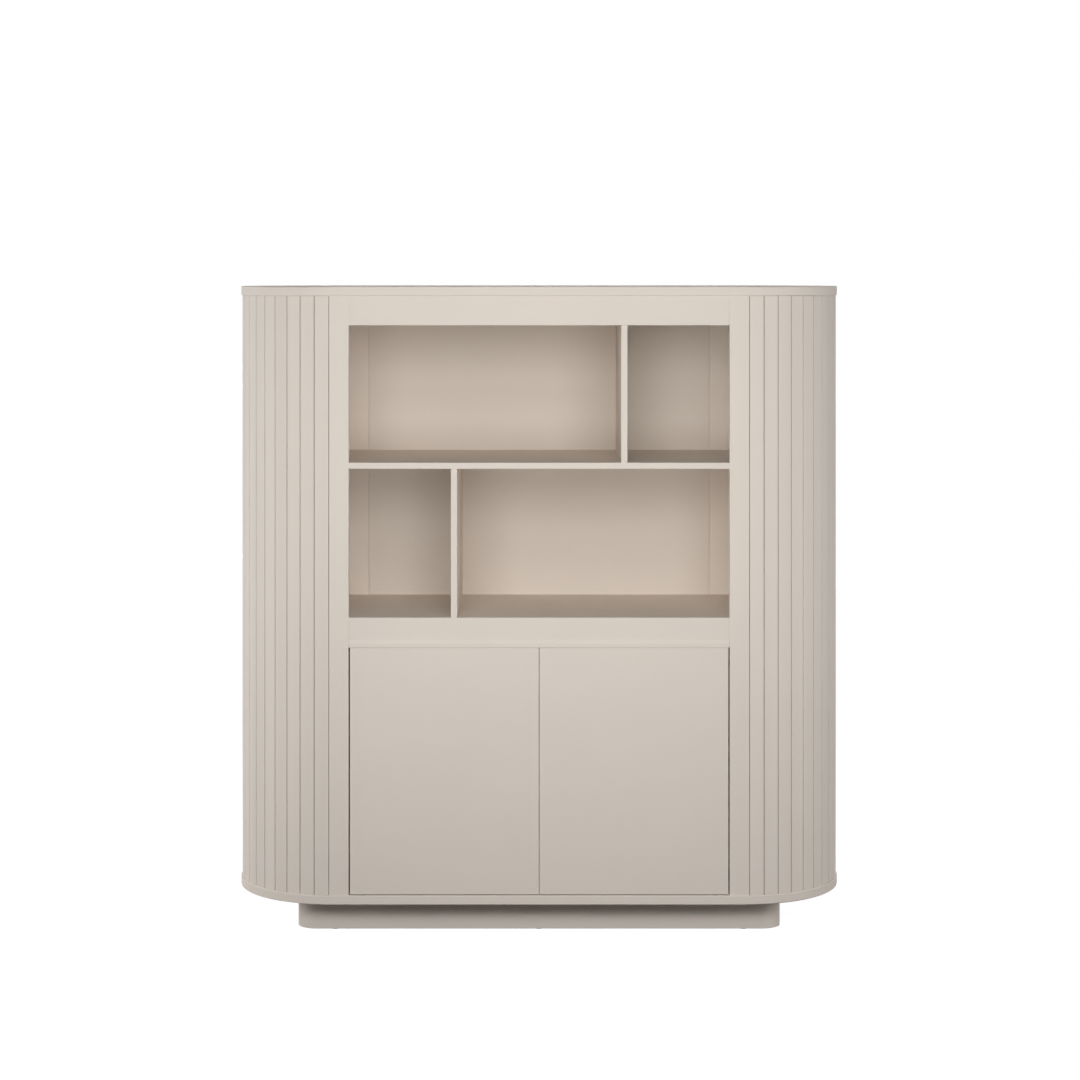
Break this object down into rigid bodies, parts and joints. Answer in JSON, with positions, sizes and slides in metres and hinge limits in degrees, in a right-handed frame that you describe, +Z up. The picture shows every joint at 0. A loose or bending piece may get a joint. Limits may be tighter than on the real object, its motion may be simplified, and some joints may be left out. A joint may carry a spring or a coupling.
{
  "type": "cabinet bookcase",
  "caption": "Free-standing bookcase with half-round slatted ends, open niches with off-centre dividers above, two plain push-to-open doors below and a recessed plinth.",
  "frame": {"origin": "on the floor, under the middle of the cabinet", "axes": "+Z up, -Y out of the front where the doors are, +X to the right of someone facing the doors"},
  "size_m": [1.1998, 0.4, 1.265],
  "materials": {
    "lacquered_board": "warm off-white matt lacquer on fibreboard",
    "raw_board": "unfinished fibreboard and bending board",
    "beech_dowel": "unfinished beech",
    "zinc": "die-cast zinc, dull",
    "steel": "zinc-plated steel",
    "nylon": "grey nylon, matt"
  },
  "bodies": {
    "cabinet": {"back_panel": "lacquered_board", "back_panel_screws": "steel", "base_board": "lacquered_board", "bottom_pivot_pins": "steel", "cam_bolts": "steel", "cam_discs": "zinc", "carcass_dowels": "beech_dowel", "cupboard_partition": "lacquered_board", "latch_end_caps": "nylon", "latch_screws": "steel", "left_back_strip": "lacquered_board", "left_bottom_former": "raw_board", "left_cupboard_shelf": "lacquered_board", "left_end_slats": "lacquered_board", "left_latch_housing": "nylon", "left_latch_spring": "steel", "left_middle_former": "raw_board", "left_slat_backing": "raw_board", "left_stile": "lacquered_board", "left_top_former": "raw_board", "left_upright": "lacquered_board", "lower_divider": "lacquered_board", "middle_rail": "lacquered_board", "niche_deck": "lacquered_board", "niche_shelf": "lacquered_board", "plinth_back_rail": "lacquered_board", "plinth_bracket_screws": "steel", "plinth_brackets": "steel", "plinth_corner_posts": "lacquered_board", "plinth_cross_rails": "raw_board", "plinth_front_rail": "lacquered_board", "plinth_glides": "nylon", "plinth_left_rail": "lacquered_board", "plinth_right_rail": "lacquered_board", "right_back_strip": "lacquered_board", "right_bottom_former": "raw_board", "right_cupboard_shelf": "lacquered_board", "right_end_slats": "lacquered_board", "right_latch_housing": "nylon", "right_latch_spring": "steel", "right_middle_former": "raw_board", "right_slat_backing": "raw_board", "right_stile": "lacquered_board", "right_top_former": "raw_board", "right_upright": "lacquered_board", "shelf_pins": "steel", "top_board": "lacquered_board", "top_pivot_pins": "steel", "top_rail": "lacquered_board", "upper_divider": "lacquered_board"},
    "left_door_leaf": {"left_door": "lacquered_board", "left_door_bottom_bush": "nylon", "left_door_top_bush": "nylon", "left_latch_strike_plate": "steel"},
    "right_door_leaf": {"right_door": "lacquered_board", "right_door_bottom_bush": "nylon", "right_door_top_bush": "nylon", "right_latch_strike_plate": "steel"},
    "left_plunger": {"left_latch_plunger": "nylon"},
    "right_plunger": {"right_latch_plunger": "nylon"}
  },
  "joints": [
    {"name": "left_door_hinge", "type": "hinge", "parent": "cabinet", "child": "left_door_leaf", "pos_m": [-0.343, -0.19, 0.083], "axis": [0, 0, -1], "range_deg": [0, 100]},
    {"name": "right_door_hinge", "type": "hinge", "parent": "cabinet", "child": "right_door_leaf", "pos_m": [0.343, -0.19, 0.083], "axis": [0, 0, 1], "range_deg": [0, 100]},
    {"name": "left_plunger_slide", "type": "slide", "parent": "cabinet", "child": "left_plunger", "axis": [0, 1, 0], "range_m": [0, 0.003], "stiffness_N_per_m": 300, "springref_m": -0.01},
    {"name": "right_plunger_slide", "type": "slide", "parent": "cabinet", "child": "right_plunger", "axis": [0, 1, 0], "range_m": [0, 0.003], "stiffness_N_per_m": 300, "springref_m": -0.01}
  ]
}
